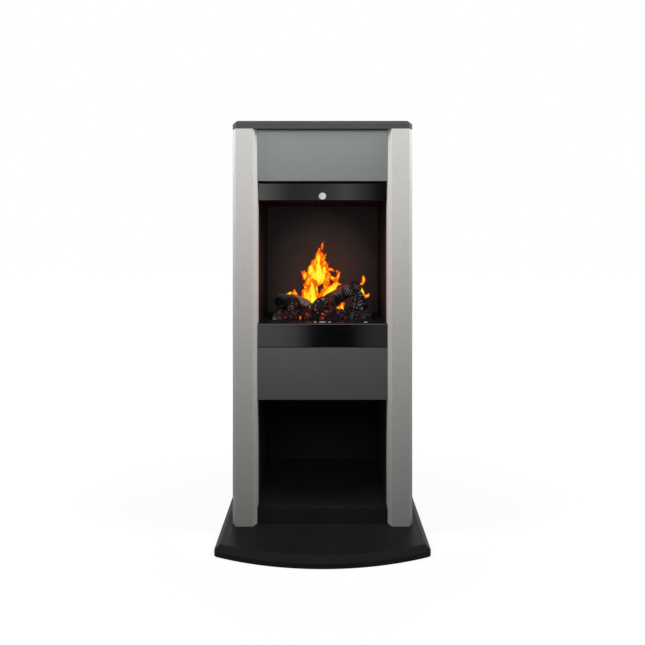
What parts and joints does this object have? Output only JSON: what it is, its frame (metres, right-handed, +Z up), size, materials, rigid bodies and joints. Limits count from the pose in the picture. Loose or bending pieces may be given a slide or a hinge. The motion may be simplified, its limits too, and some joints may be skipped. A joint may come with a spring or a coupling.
{
  "type": "freestanding electric fireplace",
  "caption": "Tall free-standing electric fireplace: open firebox with a log bed and mist flame, sliding water drawer, log store, silver pillars and a bowed base plate.",
  "frame": {"origin": "middle of the footprint on the floor", "axes": "+Z up, the front with its firebox faces -Y, +X to the viewer's right"},
  "size_m": [0.49, 0.5155, 1],
  "materials": {
    "pillar_silver": "fine-grained silver powder coat",
    "panel_grey": "smooth satin grey enamel",
    "board_grey": "satin charcoal lacquer on board",
    "base_black": "satin black lacquer on board",
    "side_grey": "fine-grained grey powder coat",
    "inner_black": "matt heat-proof black",
    "black_glass": "black-backed glass, polished edges",
    "badge_chrome": "polished",
    "badge_black": "glossy",
    "ledge_black": "glossy black moulding",
    "button_white": "satin white",
    "lens_white": "diffusing lens",
    "circuit_green": "lacquered circuit board",
    "zinc_sheet": "galvanised sheet",
    "slide_steel": "bright zinc plate",
    "lamp_alloy": "die-cast housing with frosted lens",
    "filter_amber": "tinted sheet",
    "sump_black": "moulded, satin",
    "tank_clear": "translucent blow moulding",
    "cap_grey": "ribbed moulding",
    "mist_steel": "stainless",
    "pad_rubber": "dense foam rubber",
    "screw_steel": "blackened zinc",
    "element_alloy": "finned",
    "impeller_alloy": "pressed sheet",
    "bush_brass": "turned",
    "motor_black": "satin",
    "core_steel": "varnished laminations",
    "inlet_black": "moulded",
    "rocker_black": "moulded",
    "fan_black": "moulded",
    "log_resin": "moulded charred bark, hand coloured",
    "ember_resin": "moulded embers, lit from below"
  },
  "bodies": {
    "cabinet": {"base_plate": "base_black", "base_pads": "pad_rubber", "left_pillar": "pillar_silver", "right_pillar": "pillar_silver", "left_side_panel": "side_grey", "right_side_panel": "side_grey", "left_inner_wall": "inner_black", "right_inner_wall": "inner_black", "top_board": "board_grey", "upper_front_panel": "panel_grey", "upper_glass": "black_glass", "badge_ring": "badge_black", "badge_disc": "badge_chrome", "lower_glass": "black_glass", "control_ledge": "ledge_black", "indicator_lens": "lens_white", "control_board": "circuit_green", "firebox_floor": "inner_black", "firebox_back": "inner_black", "firebox_ceiling": "inner_black", "outlet_grille": "inner_black", "store_floor": "inner_black", "store_back": "inner_black", "store_ceiling": "inner_black", "left_runner": "slide_steel", "right_runner": "slide_steel", "mist_duct": "sump_black", "lamp_bracket": "zinc_sheet", "lamp_modules": "lamp_alloy", "colour_filter": "filter_amber", "heater_casing": "zinc_sheet", "heating_element": "element_alloy", "impeller_bush": "bush_brass", "heater_motor": "motor_black", "transformer": "core_steel", "rear_cover": "side_grey", "cover_screws": "screw_steel", "mains_inlet": "inlet_black", "switch_bezel": "inlet_black", "mist_fan_frame": "fan_black"},
    "water_drawer": {"drawer_front": "panel_grey", "drawer_shelf": "zinc_sheet", "drawer_slides": "slide_steel", "sump": "sump_black", "mist_unit": "mist_steel", "water_tank": "tank_clear", "tank_cap": "cap_grey"},
    "log_set": {"ember_bed": "ember_resin", "left_log": "log_resin", "long_log": "log_resin", "ash_log": "log_resin", "right_log": "log_resin"},
    "heater_fan": {"heater_impeller": "impeller_alloy"},
    "mist_fan": {"mist_fan_rotor": "fan_black"},
    "rocker": {"rocker_switch": "rocker_black"},
    "power_key": {"power_button": "button_white"},
    "flame_key": {"flame_button": "button_white"},
    "heat_key": {"heat_button": "button_white"}
  },
  "joints": [
    {"name": "drawer_slide", "type": "slide", "parent": "cabinet", "child": "water_drawer", "axis": [0, -1, 0], "range_m": [0, 0.22]},
    {"name": "log_lift", "type": "slide", "parent": "cabinet", "child": "log_set", "axis": [0, 0, 1], "range_m": [0, 0.1]},
    {"name": "heater_fan_spin", "type": "hinge", "parent": "cabinet", "child": "heater_fan", "pos_m": [0, -0.00375, 0.8715], "axis": [1, 0, 0], "continuous": true},
    {"name": "mist_fan_spin", "type": "hinge", "parent": "cabinet", "child": "mist_fan", "pos_m": [0, 0.24, 0.4255], "axis": [0, 1, 0], "continuous": true},
    {"name": "rocker_tilt", "type": "hinge", "parent": "cabinet", "child": "rocker", "pos_m": [-0.06, 0.24825, 0.375], "axis": [1, 0, 0], "range_deg": [-14, 0]},
    {"name": "power_press", "type": "slide", "parent": "cabinet", "child": "power_key", "axis": [0, 0, -1], "range_m": [0, 0.001], "stiffness_N_per_m": 500, "springref_m": -0.001},
    {"name": "flame_press", "type": "slide", "parent": "cabinet", "child": "flame_key", "axis": [0, 0, -1], "range_m": [0, 0.001], "stiffness_N_per_m": 500, "springref_m": -0.001},
    {"name": "heat_press", "type": "slide", "parent": "cabinet", "child": "heat_key", "axis": [0, 0, -1], "range_m": [0, 0.001], "stiffness_N_per_m": 500, "springref_m": -0.001}
  ]
}
